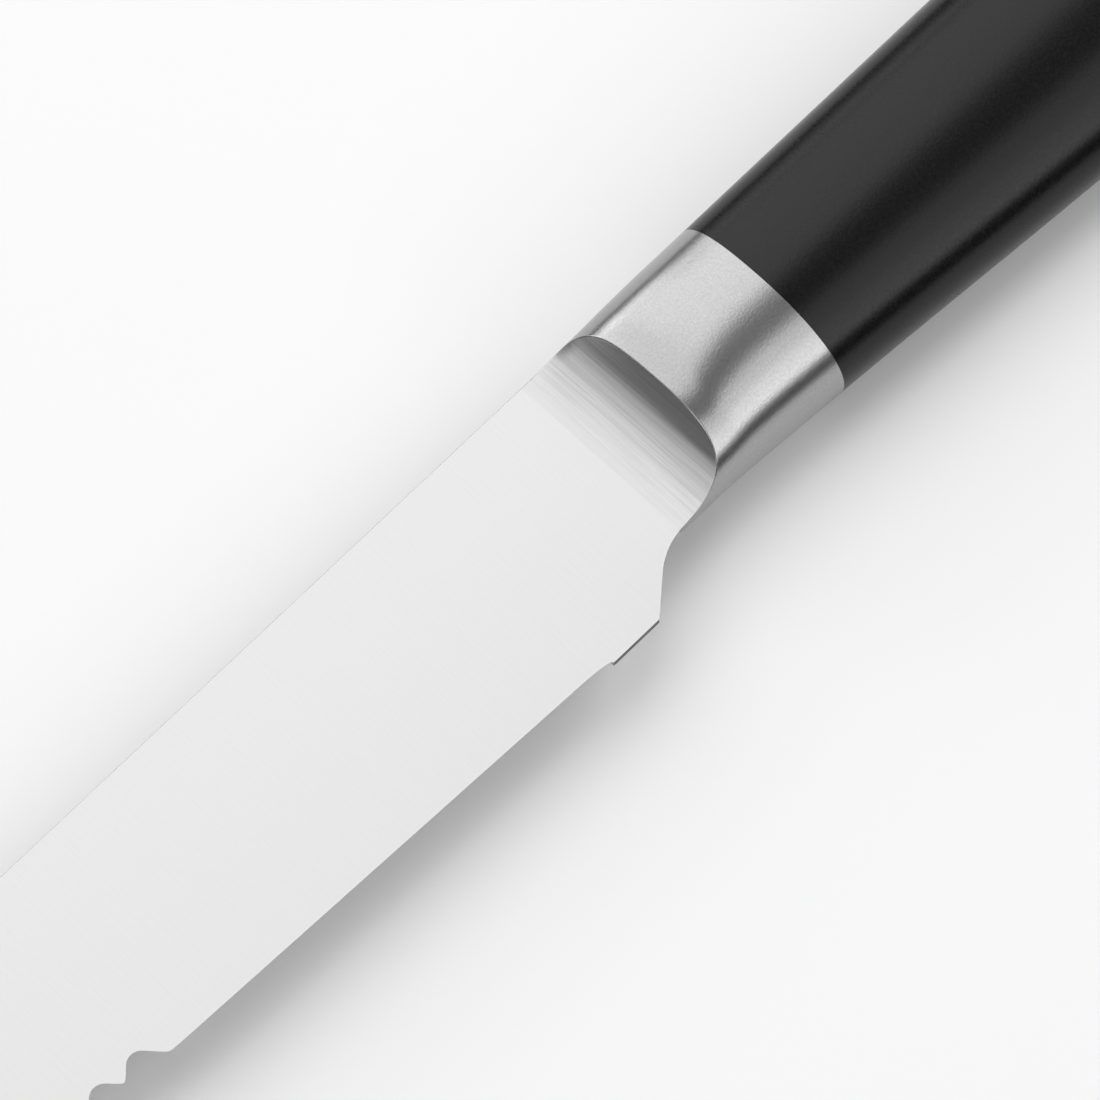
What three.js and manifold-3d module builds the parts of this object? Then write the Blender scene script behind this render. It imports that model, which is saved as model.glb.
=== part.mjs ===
// Serrated kitchen knife: a flat-ground blade, a steel bolster welded behind it, a tang and
// a one-piece moulded handle that is bedded on the tang.
//
// Millimetres. The knife lies on its right side: +X points to the butt, +Y to the spine and
// +Z out of the left face. While it is drawn, x = 0 is the plane where the bolster begins,
// y = 0 the line of the spine and z = 0 the middle of the blade.
import * as THREE from 'three';
import Module from 'manifold-3d';
import { mergeVertices } from 'three/addons/utils/BufferGeometryUtils.js';

const wasm = await Module();
wasm.setup();

// Blade
const BLADE_LENGTH = 200; // heel corner to tip
const HEEL_HEIGHT = 27.7; // spine to the unsharpened heel
const SPINE_THICKNESS = 2.2; // at the heel
const HEEL_THICKNESS = 0.9; // at the bottom of the heel
const NOSE_THICKNESS = 1.7; // in the line of the spine, over the tip
const EDGE_SET_BACK = 0.3; // ground edge above the heel, at the heel corner
const EDGE_RISE = 6.6; // from the heel to under the tip
const HEEL_FLAT = 6.6; // unsharpened length
const GRIND_RUN = 4; // length in which the ground edge leaves the heel
const TIP_DROP = 16; // tip below the line of the spine
const SPINE_FALL_LENGTH = 75; // curved end of the spine
const EDGE_SWEEP_LENGTH = 35; // curved end of the edge
const CHOIL_ANGLE = 40; // degrees, straight cut behind the heel
const CHOIL_RADIUS = 8.5;
const CHOIL_UNDER_BOLSTER = 1.1; // the arc of the choil runs on this far under the bolster

// Serration, ground from the right face only
const TOOTH_PITCH = 5;
const SCALLOP_DEPTH = 2.45; // from the plain edge, on the left face
const SCALLOP_RADIUS = 1.6;
const FLANK_ANGLE = 48; // degrees to the edge
const GRIND_ANGLE = 14; // degrees between the ground flutes and the left face
const FIRST_SCALLOP = 70.4; // along the edge, from the heel
const PLAIN_TIP = 5; // least length of edge beyond the last scallop's middle

// Weld between blade and bolster
const TENON_LENGTH = 6;
const TENON_SHOULDER = 4; // step at the spine and at the belly
const TENON_REBATE = 0.3; // step on each face
const FIT = 0.05; // clearance around every fitted face

// Bolster
const BOLSTER_LENGTH = 23.5;
const RAMP_LENGTH = 8.4; // hollow that sweeps from the blade's face to the ridge
const RAMP_HEIGHT = 6.8;
const NOSE_WIDTH = 11; // of the oval that the hollows leave little of, at the blade
const NECK_HEIGHT = 22.2; // at the ridge
const NECK_THICKNESS = 15;
const SHOULDER_THICKNESS = 16.3; // where the swelling behind the ridge eases off
const SHOULDER_BEHIND_RIDGE = 5.6;
const COLLAR_HEIGHT = 23.2; // where the handle begins
const COLLAR_THICKNESS = 16.6;

// Handle
const HANDLE_LENGTH = 115;
const SWELL_HEIGHT = 26.7; // fullest belly, under the palm
const SWELL_THICKNESS = 17.6;
const SWELL_BEHIND_COLLAR = 56;
const WAIST_HEIGHT = 25; // behind the palm
const WAIST_THICKNESS = 17.2;
const WAIST_BEFORE_BUTT = 34;
const HOOK_HEIGHT = 26.8; // at the butt, which stops the hand
const HOOK_THICKNESS = 16.4;
const HOOK_BEFORE_BUTT = 8;
const TOP_FALL = 3; // drop of the top line at the butt
const TOP_FALL_LENGTH = 42;
const BUTT_ROUND = 6.5;

// Oval section of bolster and handle: two half ovals that meet at the widest place
const WIDEST = 0.46; // share of the height, from the spine
const SPINE_FULLNESS = 2.7; // exponent of the half oval, 2 is an ellipse
const BELLY_FULLNESS = 2.1;

// Tang and its bed in the handle
const TANG_HEIGHT = 13;
const TANG_END_HEIGHT = 8;
const TANG_THICKNESS = 3.5;
const TANG_LENGTH = 100; // from the bottom of the bolster's socket
const TANG_BELOW_SPINE = 11; // middle line
const SOCKET_DEPTH = 8;
const KEY_RADIUS = 2.5; // holes that the bed grips
const FIRST_KEY = 34; // from the bottom of the socket
const KEY_SPACING = 42;
const KEY_COUNT = 2;
const BED_WALL = 1.6; // bed around the tang
const BED_END = 4; // bed beyond the end of the tang

// Fineness of the facets
const RING_POINTS = 48;
const BOLSTER_RINGS = 10;
const HANDLE_RINGS = 22;
const BUTT_RINGS = 6;
const ARC_STEPS = 6;
const CURVE_STEPS = 12;
const RAMP_STEPS = 16;

const OVERCUT = 2; // cutters reach this far past what they cut
const SAME_POINT = 1e-5;

const radians = THREE.MathUtils.degToRad;

// Places along the knife
const choilTurn = radians(CHOIL_ANGLE);
const choilFoot = CHOIL_UNDER_BOLSTER - CHOIL_RADIUS * Math.sin(choilTurn);
const choilFootHeight = NECK_HEIGHT + CHOIL_RADIUS * (1 - Math.cos(choilTurn));
const heel = choilFoot - (HEEL_HEIGHT - choilFootHeight) / Math.tan(choilTurn);
const tip = heel - BLADE_LENGTH;
const butt = BOLSTER_LENGTH + HANDLE_LENGTH;
const tangFront = BOLSTER_LENGTH - SOCKET_DEPTH;

// Height of the choil's arc at the weld, which is the belly of the bolster's front end.
const weldHeight = NECK_HEIGHT + CHOIL_RADIUS
  - Math.sqrt(CHOIL_RADIUS ** 2 - CHOIL_UNDER_BOLSTER ** 2);

// Half thickness of the blade: a plane, thinner towards the edge and towards the tip.
const thinDown = (SPINE_THICKNESS - HEEL_THICKNESS) / HEEL_HEIGHT / 2;
const thinAhead = (SPINE_THICKNESS - NOSE_THICKNESS) / BLADE_LENGTH / 2;
const halfBlade = (x, y) => SPINE_THICKNESS / 2 + thinDown * y + thinAhead * (x - heel);

// Height of the ground edge where it is straight.
const edgeY = (x) => EDGE_SET_BACK - HEEL_HEIGHT + (EDGE_RISE * (heel - x)) / BLADE_LENGTH;

// Closed geometry as a solid that can be cut and joined.
function solid(geometry) {
  geometry.deleteAttribute('normal');
  geometry.deleteAttribute('uv');
  const merged = mergeVertices(geometry, SAME_POINT);
  return new wasm.Manifold(new wasm.Mesh({
    numProp: 3,
    vertProperties: Float32Array.from(merged.attributes.position.array),
    triVerts: Uint32Array.from(merged.index.array),
  }));
}

// Flat outline in x and y given a thickness from z = low to z = high.
function plate(shape, low, high, curveSegments) {
  const flat = { depth: high - low, bevelEnabled: false, curveSegments };
  return new THREE.ExtrudeGeometry(shape, flat).translate(0, 0, low);
}

// Six-sided block whose lower and upper faces are planes over x and y.
function block([x0, x1], [y0, y1], low, high) {
  const box = new THREE.BoxGeometry(1, 1, 1);
  const points = box.attributes.position;
  for (let i = 0; i < points.count; i += 1) {
    const x = points.getX(i) < 0 ? x0 : x1;
    const y = points.getY(i) < 0 ? y0 : y1;
    points.setXYZ(i, x, y, points.getZ(i) < 0 ? low(x, y) : high(x, y));
  }
  return solid(box);
}

// Skin over rings of points that follow each other along x, closed by a fan at each end.
function loft(rings) {
  const count = rings[0].length;
  const points = rings.flat();
  const faces = [];
  for (let ring = 0; ring < rings.length - 1; ring += 1) {
    for (let i = 0; i < count; i += 1) {
      const a = ring * count + i;
      const b = ring * count + ((i + 1) % count);
      faces.push(a, b, a + count, b, b + count, a + count);
    }
  }
  const middle = (ring) => ring
    .reduce((sum, point) => sum.add(point), new THREE.Vector3())
    .divideScalar(count);
  const first = points.push(middle(rings[0])) - 1;
  const last = points.push(middle(rings[rings.length - 1])) - 1;
  const lastRing = (rings.length - 1) * count;
  for (let i = 0; i < count; i += 1) {
    const next = (i + 1) % count;
    faces.push(first, next, i);
    faces.push(last, lastRing + i, lastRing + next);
  }
  const skin = new THREE.BufferGeometry().setFromPoints(points);
  skin.setIndex(faces);
  return solid(skin);
}

// Smooth line through stations [x, value]: cubic pieces whose slope at a station is that of
// the chord between its neighbours.
function smooth(stations, x) {
  const end = stations.length - 1;
  const slope = (i) => {
    const [xa, va] = stations[Math.max(i - 1, 0)];
    const [xb, vb] = stations[Math.min(i + 1, end)];
    return (vb - va) / (xb - xa);
  };
  const next = stations.findIndex(([at], i) => i > 0 && (x <= at || i === end));
  const [x0, v0] = stations[next - 1];
  const [x1, v1] = stations[next];
  const run = x1 - x0;
  const t = (x - x0) / run;
  const lean0 = slope(next - 1) * run;
  const lean1 = slope(next) * run;
  const bend = 2 * (v0 - v1) + lean0 + lean1;
  return v0 + t * (lean0 + t * (3 * (v1 - v0) - 2 * lean0 - lean1 + t * bend));
}

// Bolster and handle share these lines, so that they run on into each other.
const swell = BOLSTER_LENGTH + SWELL_BEHIND_COLLAR;
const waist = butt - WAIST_BEFORE_BUTT;
const hook = butt - HOOK_BEFORE_BUTT;
const bellyLine = [
  [0, weldHeight],
  [RAMP_LENGTH, NECK_HEIGHT],
  [BOLSTER_LENGTH, COLLAR_HEIGHT],
  [swell, SWELL_HEIGHT],
  [waist, WAIST_HEIGHT],
  [hook, HOOK_HEIGHT],
  [butt, HOOK_HEIGHT],
];
const thicknessLine = [
  [0, NOSE_WIDTH],
  [RAMP_LENGTH, NECK_THICKNESS],
  [RAMP_LENGTH + SHOULDER_BEHIND_RIDGE, SHOULDER_THICKNESS],
  [BOLSTER_LENGTH, COLLAR_THICKNESS],
  [swell, SWELL_THICKNESS],
  [waist, WAIST_THICKNESS],
  [hook, HOOK_THICKNESS],
  [butt, HOOK_THICKNESS],
];

// The top runs on in the line of the spine and falls in a parabola at the butt.
function topFall(x) {
  const into = Math.max(x - (butt - TOP_FALL_LENGTH), 0) / TOP_FALL_LENGTH;
  return TOP_FALL * into * into;
}

// Oval ring at x, drawn in by inset all round.
function ovalRing(x, inset) {
  const top = -topFall(x) - inset;
  const bottom = -smooth(bellyLine, x) + inset;
  const half = smooth(thicknessLine, x) / 2 - inset;
  const widest = top + (bottom - top) * WIDEST;
  return Array.from({ length: RING_POINTS }, (_, i) => {
    const turn = (2 * Math.PI * i) / RING_POINTS;
    const up = Math.cos(turn);
    const out = Math.sin(turn);
    const power = 2 / (up > 0 ? SPINE_FULLNESS : BELLY_FULLNESS);
    const reach = up > 0 ? top - widest : bottom - widest;
    const y = widest + reach * Math.abs(up) ** power;
    return new THREE.Vector3(x, y, half * Math.sign(out) * Math.abs(out) ** power);
  });
}

const spaced = (from, to, steps) => Array
  .from({ length: steps + 1 }, (_, i) => from + ((to - from) * i) / steps);

// Moves a cutter drawn at z = 0 onto the blade's left face, and leans it so that it reaches
// nearer to the spine the deeper it goes.
function groundFromRight(geometry, place) {
  const lean = new THREE.Matrix4().makeShear(0, 0, 0, 0, 0, -1 / Math.tan(radians(GRIND_ANGLE)));
  const ontoFace = new THREE.Matrix4()
    .makeTranslation(0, 0, halfBlade(0, 0))
    .multiply(new THREE.Matrix4().makeShear(0, thinAhead, 0, thinDown, 0, 0));
  return solid(geometry.applyMatrix4(lean).applyMatrix4(place).applyMatrix4(ontoFace));
}

const cutterDepth = SPINE_THICKNESS + OVERCUT;

// Ground edge, from the heel to the tip: a straight line and a sweep up to the tip.
function edgeCurve() {
  const sweep = tip + EDGE_SWEEP_LENGTH;
  const bend = tip + EDGE_SWEEP_LENGTH / 2;
  const path = new THREE.CurvePath();
  const sweepStart = new THREE.Vector2(sweep, edgeY(sweep));
  path.add(new THREE.LineCurve(new THREE.Vector2(heel, edgeY(heel)), sweepStart));
  path.add(new THREE.QuadraticBezierCurve(
    sweepStart,
    new THREE.Vector2(bend, edgeY(bend)),
    new THREE.Vector2(tip, -TIP_DROP),
  ));
  return path;
}

// Blank before grinding: spine, nose, straight bottom, heel, choil and the tenon.
function blankOutline() {
  const fall = tip + SPINE_FALL_LENGTH;
  const bend = tip + SPINE_FALL_LENGTH / 2;
  const past = OVERCUT / (bend - tip);
  const tenonBottom = -(NECK_HEIGHT - TENON_SHOULDER);
  const arcStart = Math.PI / 2 + choilTurn;
  const arcEnd = Math.PI / 2 + Math.asin(CHOIL_UNDER_BOLSTER / CHOIL_RADIUS);
  const shape = new THREE.Shape();
  shape.moveTo(0, 0);
  shape.lineTo(fall, 0);
  shape.quadraticCurveTo(bend, 0, tip, -TIP_DROP);
  shape.lineTo(tip - OVERCUT, -TIP_DROP - TIP_DROP * past);
  shape.lineTo(tip - OVERCUT, -HEEL_HEIGHT);
  shape.lineTo(heel, -HEEL_HEIGHT);
  shape.lineTo(choilFoot, -choilFootHeight);
  const arcMiddle = -NECK_HEIGHT - CHOIL_RADIUS;
  shape.absarc(CHOIL_UNDER_BOLSTER, arcMiddle, CHOIL_RADIUS, arcStart, arcEnd, true);
  shape.lineTo(0, tenonBottom);
  shape.lineTo(TENON_LENGTH, tenonBottom);
  shape.lineTo(TENON_LENGTH, -TENON_SHOULDER);
  shape.lineTo(0, -TENON_SHOULDER);
  return shape;
}

// All that the grinder takes off below the edge: it leaves the heel in a short curve.
function edgeGrind() {
  const start = heel - HEEL_FLAT;
  const settled = start - GRIND_RUN;
  const sweep = tip + EDGE_SWEEP_LENGTH;
  const bend = tip + EDGE_SWEEP_LENGTH / 2;
  const past = OVERCUT / (bend - tip);
  const low = -HEEL_HEIGHT - OVERCUT;
  const shape = new THREE.Shape();
  shape.moveTo(start, low);
  shape.lineTo(start, -HEEL_HEIGHT);
  shape.quadraticCurveTo(start, edgeY(start), settled, edgeY(settled));
  shape.lineTo(sweep, edgeY(sweep));
  shape.quadraticCurveTo(bend, edgeY(bend), tip, -TIP_DROP);
  shape.lineTo(tip - OVERCUT, -TIP_DROP - past * (TIP_DROP + edgeY(bend)));
  shape.lineTo(tip - 2 * OVERCUT, low);
  return groundFromRight(plate(shape, -cutterDepth, OVERCUT, CURVE_STEPS), new THREE.Matrix4());
}

// One flute: a round bottom between two straight flanks.
function fluteOutline() {
  const flank = radians(FLANK_ANGLE);
  const reach = SCALLOP_DEPTH + OVERCUT;
  const tangentX = SCALLOP_RADIUS * Math.sin(flank);
  const tangentY = -SCALLOP_RADIUS * (1 - Math.cos(flank));
  const openX = tangentX + (reach + tangentY) / Math.tan(flank);
  const shape = new THREE.Shape();
  shape.moveTo(openX, -reach);
  shape.lineTo(tangentX, tangentY);
  const quarter = Math.PI / 2;
  shape.absarc(0, -SCALLOP_RADIUS, SCALLOP_RADIUS, quarter - flank, quarter + flank, false);
  shape.lineTo(-openX, -reach);
  return shape;
}

// Flutes side by side along the edge, as far as the tip leaves room.
function flutes() {
  const edge = edgeCurve();
  const length = edge.getLength();
  const count = Math.floor((length - PLAIN_TIP - FIRST_SCALLOP) / TOOTH_PITCH) + 1;
  const cutters = [];
  for (let i = 0; i < count; i += 1) {
    const along = (FIRST_SCALLOP + i * TOOTH_PITCH) / length;
    const point = edge.getPointAt(along);
    const ahead = edge.getTangentAt(along);
    const turn = Math.atan2(-ahead.y, -ahead.x);
    const place = new THREE.Matrix4()
      .makeTranslation(point.x, point.y, 0)
      .multiply(new THREE.Matrix4().makeRotationZ(turn))
      .multiply(new THREE.Matrix4().makeTranslation(0, SCALLOP_DEPTH, 0));
    cutters.push(groundFromRight(plate(fluteOutline(), -cutterDepth, OVERCUT, ARC_STEPS), place));
  }
  return cutters;
}

function blade() {
  const x = [tip - 2 * OVERCUT, TENON_LENGTH + OVERCUT];
  const y = [-HEEL_HEIGHT - OVERCUT, OVERCUT];
  const blank = solid(plate(blankOutline(), -SPINE_THICKNESS, SPINE_THICKNESS, CURVE_STEPS));
  const faces = block(x, y, (px, py) => -halfBlade(px, py), halfBlade);
  const behindWeld = [0, TENON_LENGTH + OVERCUT];
  const tenonHalf = (px, py) => halfBlade(px, py) - TENON_REBATE;
  const outside = (px, py) => halfBlade(px, py) + OVERCUT;
  const leftRebate = block(behindWeld, y, tenonHalf, outside);
  const rightRebate = block(
    behindWeld,
    y,
    (px, py) => -outside(px, py),
    (px, py) => -tenonHalf(px, py),
  );
  const ground = blank.intersect(faces).subtract(edgeGrind());
  const serrated = flutes().reduce((body, flute) => body.subtract(flute), ground);
  return serrated.subtract(leftRebate).subtract(rightRebate);
}

// Hollow on one side of the bolster: a quarter ellipse that leaves the blade's face without a
// step and sweeps up to the ridge.
function scoop(side) {
  const deep = COLLAR_THICKNESS + NECK_THICKNESS;
  const shape = new THREE.Shape();
  shape.moveTo(-OVERCUT, 0);
  shape.lineTo(0, 0);
  const foot = (-side * Math.PI) / 2;
  shape.absellipse(0, side * RAMP_HEIGHT, RAMP_LENGTH, RAMP_HEIGHT, foot, 0, side < 0);
  shape.lineTo(RAMP_LENGTH, side * deep);
  shape.lineTo(-OVERCUT, side * deep);
  const low = NECK_HEIGHT + COLLAR_HEIGHT;
  const acrossBlade = new THREE.Matrix4().makeBasis(
    new THREE.Vector3(1, 0, 0),
    new THREE.Vector3(0, 0, 1),
    new THREE.Vector3(0, -1, 0),
  );
  const ontoFace = new THREE.Matrix4()
    .makeTranslation(0, 0, side * halfBlade(0, 0))
    .multiply(new THREE.Matrix4().makeShear(0, 0, 0, side * thinDown, 0, 0));
  const bar = plate(shape, -OVERCUT, low, RAMP_STEPS);
  return solid(bar.applyMatrix4(acrossBlade).applyMatrix4(ontoFace));
}

const tangEnd = tangFront + TANG_LENGTH;
const tangHalf = TANG_THICKNESS / 2;

// Half height of the tang, which tapers to its end, grown by spare.
function tangReach(x, spare) {
  const taper = (TANG_HEIGHT - TANG_END_HEIGHT) / 2 / TANG_LENGTH;
  return TANG_HEIGHT / 2 - taper * (x - tangFront) + spare;
}

// Tang outline grown by spare on every side, with its key holes shrunk by as much.
function tangOutline(from, spare) {
  const last = tangEnd + spare;
  const round = tangReach(tangEnd, spare);
  const turn = tangEnd - round;
  const shape = new THREE.Shape();
  shape.moveTo(from, -TANG_BELOW_SPINE - tangReach(from, spare));
  shape.lineTo(turn, -TANG_BELOW_SPINE - tangReach(turn, spare));
  shape.quadraticCurveTo(last, -TANG_BELOW_SPINE - round, last, -TANG_BELOW_SPINE);
  const top = -TANG_BELOW_SPINE + tangReach(turn, spare);
  shape.quadraticCurveTo(last, -TANG_BELOW_SPINE + round, turn, top);
  shape.lineTo(from, -TANG_BELOW_SPINE + tangReach(from, spare));
  for (let i = 0; i < KEY_COUNT; i += 1) {
    const hole = new THREE.Path();
    const x = tangFront + FIRST_KEY + i * KEY_SPACING;
    hole.absarc(x, -TANG_BELOW_SPINE, KEY_RADIUS - spare, 0, 2 * Math.PI, false);
    shape.holes.push(hole);
  }
  return shape;
}

function tang() {
  return solid(plate(tangOutline(tangFront, 0), -tangHalf, tangHalf, ARC_STEPS));
}

// Room for the tang in another piece.
function tangRoom(from) {
  return solid(plate(tangOutline(from, FIT), -tangHalf - FIT, tangHalf + FIT, ARC_STEPS));
}

// Block around the tang inside the handle, with a wall of the given thickness.
function bedBlock(from, wall) {
  const last = tangEnd + BED_END + wall - BED_WALL;
  const shape = new THREE.Shape();
  shape.moveTo(from, -TANG_BELOW_SPINE - tangReach(from, wall));
  shape.lineTo(last, -TANG_BELOW_SPINE - tangReach(last, wall));
  shape.lineTo(last, -TANG_BELOW_SPINE + tangReach(last, wall));
  shape.lineTo(from, -TANG_BELOW_SPINE + tangReach(from, wall));
  return solid(plate(shape, -tangHalf - wall, tangHalf + wall, 1));
}

function bolster() {
  const body = loft(spaced(0, BOLSTER_LENGTH, BOLSTER_RINGS).map((x) => ovalRing(x, 0)));
  const slotHalf = (px, py) => halfBlade(px, py) - TENON_REBATE + FIT;
  const slot = block(
    [-OVERCUT, TENON_LENGTH + FIT],
    [-(NECK_HEIGHT - TENON_SHOULDER) - FIT, -TENON_SHOULDER + FIT],
    (px, py) => -slotHalf(px, py),
    slotHalf,
  );
  const socket = block(
    [tangFront - FIT, BOLSTER_LENGTH + OVERCUT],
    [-TANG_BELOW_SPINE - TANG_HEIGHT / 2 - FIT, -TANG_BELOW_SPINE + TANG_HEIGHT / 2 + FIT],
    () => -tangHalf - FIT,
    () => tangHalf + FIT,
  );
  return body.subtract(scoop(1)).subtract(scoop(-1)).subtract(slot).subtract(socket);
}

function tangBed() {
  const room = tangRoom(BOLSTER_LENGTH - OVERCUT);
  return bedBlock(BOLSTER_LENGTH, BED_WALL).subtract(room);
}

function handle() {
  const grip = spaced(BOLSTER_LENGTH, butt - BUTT_ROUND, HANDLE_RINGS);
  const rings = grip.map((x) => ovalRing(x, 0));
  for (const turn of spaced(0, Math.PI / 2, BUTT_RINGS).slice(1)) {
    const x = butt - BUTT_ROUND * (1 - Math.sin(turn));
    rings.push(ovalRing(x, BUTT_ROUND * (1 - Math.cos(turn))));
  }
  return loft(rings).subtract(bedBlock(BOLSTER_LENGTH - OVERCUT, BED_WALL + FIT));
}

function finish(color, roughness, metalness) {
  return new THREE.MeshStandardMaterial({ color, roughness, metalness });
}

const brushedSteel = finish(0xd9dadb, 0.32, 1);
const satinSteel = finish(0xc9cacc, 0.38, 1);
const millSteel = finish(0x9a9b9d, 0.5, 1);
const castResin = finish(0xb9a27a, 0.4, 0);
const blackPlastic = finish(0x151516, 0.35, 0);

function piece(name, body, material) {
  const { vertProperties, triVerts } = body.getMesh();
  const geometry = new THREE.BufferGeometry();
  geometry.setAttribute('position', new THREE.BufferAttribute(vertProperties, 3));
  geometry.setIndex(new THREE.BufferAttribute(triVerts, 1));
  geometry.computeVertexNormals();
  const mesh = new THREE.Mesh(geometry, material);
  mesh.name = name;
  return mesh;
}

const knife = new THREE.Group();
knife.add(
  piece('blade', blade(), brushedSteel),
  piece('bolster', bolster(), satinSteel),
  piece('tang', tang(), millSteel),
  piece('tang_bed', tangBed(), castResin),
  piece('handle', handle(), blackPlastic),
);

// The origin is under the middle of the knife, on the surface that it lies on.
const box = new THREE.Box3().setFromObject(knife);
const middle = box.getCenter(new THREE.Vector3());
knife.position.set(-middle.x, -middle.y, -box.min.z);

export default knife;
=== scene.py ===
"""Serrated kitchen knife: the looks of the blade, the bolster and the handle.

Shapes are worked out in millimetres in the knife's own drawing frame and then put into the row
frame: x runs from the plane where the bolster begins to the butt, y from the line of the spine
up, and z from the middle of the blade out of its left face.
"""
import math

import bmesh
import bpy
import numpy as np
from mathutils import Matrix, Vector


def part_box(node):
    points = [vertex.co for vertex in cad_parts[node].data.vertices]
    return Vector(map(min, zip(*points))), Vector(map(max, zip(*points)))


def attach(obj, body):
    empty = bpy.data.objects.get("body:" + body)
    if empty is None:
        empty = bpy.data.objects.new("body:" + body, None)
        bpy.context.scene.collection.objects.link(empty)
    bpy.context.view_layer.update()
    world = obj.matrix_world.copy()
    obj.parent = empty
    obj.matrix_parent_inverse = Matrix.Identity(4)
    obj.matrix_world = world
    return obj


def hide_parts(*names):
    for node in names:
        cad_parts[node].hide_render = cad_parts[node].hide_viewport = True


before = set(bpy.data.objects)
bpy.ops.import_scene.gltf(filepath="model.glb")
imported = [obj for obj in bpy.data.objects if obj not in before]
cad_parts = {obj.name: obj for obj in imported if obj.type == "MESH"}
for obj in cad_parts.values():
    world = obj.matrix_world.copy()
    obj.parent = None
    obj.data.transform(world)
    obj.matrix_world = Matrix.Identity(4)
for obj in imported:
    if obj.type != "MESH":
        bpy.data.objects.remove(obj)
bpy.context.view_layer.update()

MM = 0.001
blade_low, blade_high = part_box("blade")
bolster_low, bolster_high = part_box("bolster")
_, handle_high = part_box("handle")

# Origin of the drawing frame, in metres in the row frame.
ORIGIN = np.array([bolster_low.x, blade_high.y, (blade_low.z + blade_high.z) / 2])

# Blade
TIP = (blade_low.x - bolster_low.x) / MM
HEEL_HEIGHT = (blade_high.y - blade_low.y) / MM
BLADE_LENGTH = 200.0
HEEL = TIP + BLADE_LENGTH
SPINE_THICKNESS = 2.2
HEEL_THICKNESS = 0.9
NOSE_THICKNESS = 1.7
EDGE_SET_BACK = 0.3
EDGE_RISE = 6.6
HEEL_FLAT = 6.6
GRIND_RUN = 4.0
BEVEL_START = 1.8
TIP_DROP = 16.0
SPINE_FALL_LENGTH = 75.0
EDGE_SWEEP_LENGTH = 35.0
CHOIL_ANGLE = math.radians(40)
CHOIL_RADIUS = 9.0
CHOIL_UNDER_BOLSTER = 1.1
SPINE_ROUND = 0.1

# Serration
TOOTH_PITCH = 5.0
SCALLOP_DEPTH = 2.45
SCALLOP_RADIUS = 1.6
FLANK_ANGLE = math.radians(48)
GRIND_ANGLE = math.radians(14)
FIRST_SCALLOP = 70.4
PLAIN_TIP = 5.0
TOOTH_EASE = 0.25
FLANK_EASE = 0.15
SCALLOP_ROOM = 0.5  # most that a scallop takes of the blade's height

# Weld between blade and bolster
TENON_LENGTH = (blade_high.x - bolster_low.x) / MM
TENON_SHOULDER = 4.0
TENON_REBATE = 0.3
FIT = 0.05

# Bolster
BOLSTER_LENGTH = (bolster_high.x - bolster_low.x) / MM
RAMP_LENGTH = 8.4
RAMP_HEIGHT = 6.8
NOSE_WIDTH = 12.0
NECK_HEIGHT = 22.35
NECK_THICKNESS = 14.0
FLARE_THICKNESS = 15.5
FLARE_BEHIND_RIDGE = 3.1
SHOULDER_THICKNESS = 16.4
SHOULDER_BEHIND_RIDGE = 7.6
COLLAR_HEIGHT = 23.2
COLLAR_THICKNESS = 16.6
RIDGE_ROUND = 0.16
CHEEK_EASE = 0.5
CHEEK_EASE_WIDTH = 2.4
CHEEK_EASE_GROWTH = 3.0  # the ease is full at one part in three of the cheek's height
SEAM_ROUND = 0.03

# Handle
BUTT = (handle_high.x - bolster_low.x) / MM
SWELL_HEIGHT = 26.7
SWELL_THICKNESS = 17.6
SWELL_BEHIND_COLLAR = 56.0
WAIST_HEIGHT = 25.0
WAIST_THICKNESS = 17.2
WAIST_BEFORE_BUTT = 34.0
HOOK_HEIGHT = 26.8
HOOK_THICKNESS = 16.4
HOOK_BEFORE_BUTT = 8.0
TOP_FALL = 3.0
TOP_FALL_LENGTH = 42.0
BUTT_ROUND = 6.5

# Oval section of bolster and handle
NOSE_WIDEST = 0.5
WIDEST = 0.46
SWELL_WIDEST = 0.4
SPINE_FULLNESS = 2.7
BELLY_FULLNESS = 2.1

# Room for the tang and its bed
TANG_HEIGHT = 13.0
TANG_END_HEIGHT = 8.0
TANG_THICKNESS = 3.5
TANG_LENGTH = 100.0
TANG_BELOW_SPINE = 11.0
SOCKET_DEPTH = 8.0
BED_WALL = 1.6
BED_END = 4.0

# Fineness of the surfaces
OVAL_POINTS = 192
RAMP_ROWS = 26
RIDGE_ROWS = 4
COLLAR_ROWS = 30
GRIP_ROWS = 90
BUTT_ROWS = 24
FACE_ROWS = 6
HOLD = 0.002  # share of a face beside its border, where a row keeps the border crisp
CORNER_ROWS = 4
BEVEL_ROWS = 3
CHOIL_COLUMNS = 40
HEEL_COLUMNS = 7
LEAVE_COLUMNS = 16
EDGE_STEPS = 4000
HALVINGS = 48
TOOTH_STEP = 0.2
PLAIN_STEP = 1.0
SHARP_ANGLE = math.radians(28)
GRIND_SHARP_ANGLE = math.radians(9)
MERGE_DISTANCE = 2e-7
TINY = 1e-9

# Belt's lines over the hollow cheeks, where they set in, in millimetres behind the weld; then the span
# of painted shade that darkens the cheek towards the ridge, and the share of the colour left there
BELT_SETS_IN = (0.0, 4.0)
PAINTED_SHADE_SPAN = (6.5, 7.4)
PAINTED_SHADE_SHARE = 0.6

# Patterns: the span of a noise that shows, and shares of roughness, width and strength
NOISE_SPAN = {"From Min": 0.3, "From Max": 0.7}
BELT_WEAR = 0.02
MOULD_WEAR = 0.04
BAND_SHARE = (4, 2, 4)
FAINT_LINES = 0.2

# Paper of the floor: fibre and relief in millimetres, half its width in metres
PAPER_FIBRE = 2.0
PAPER_RELIEF = 0.005
FLOOR_REACH = 3.0

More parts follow.
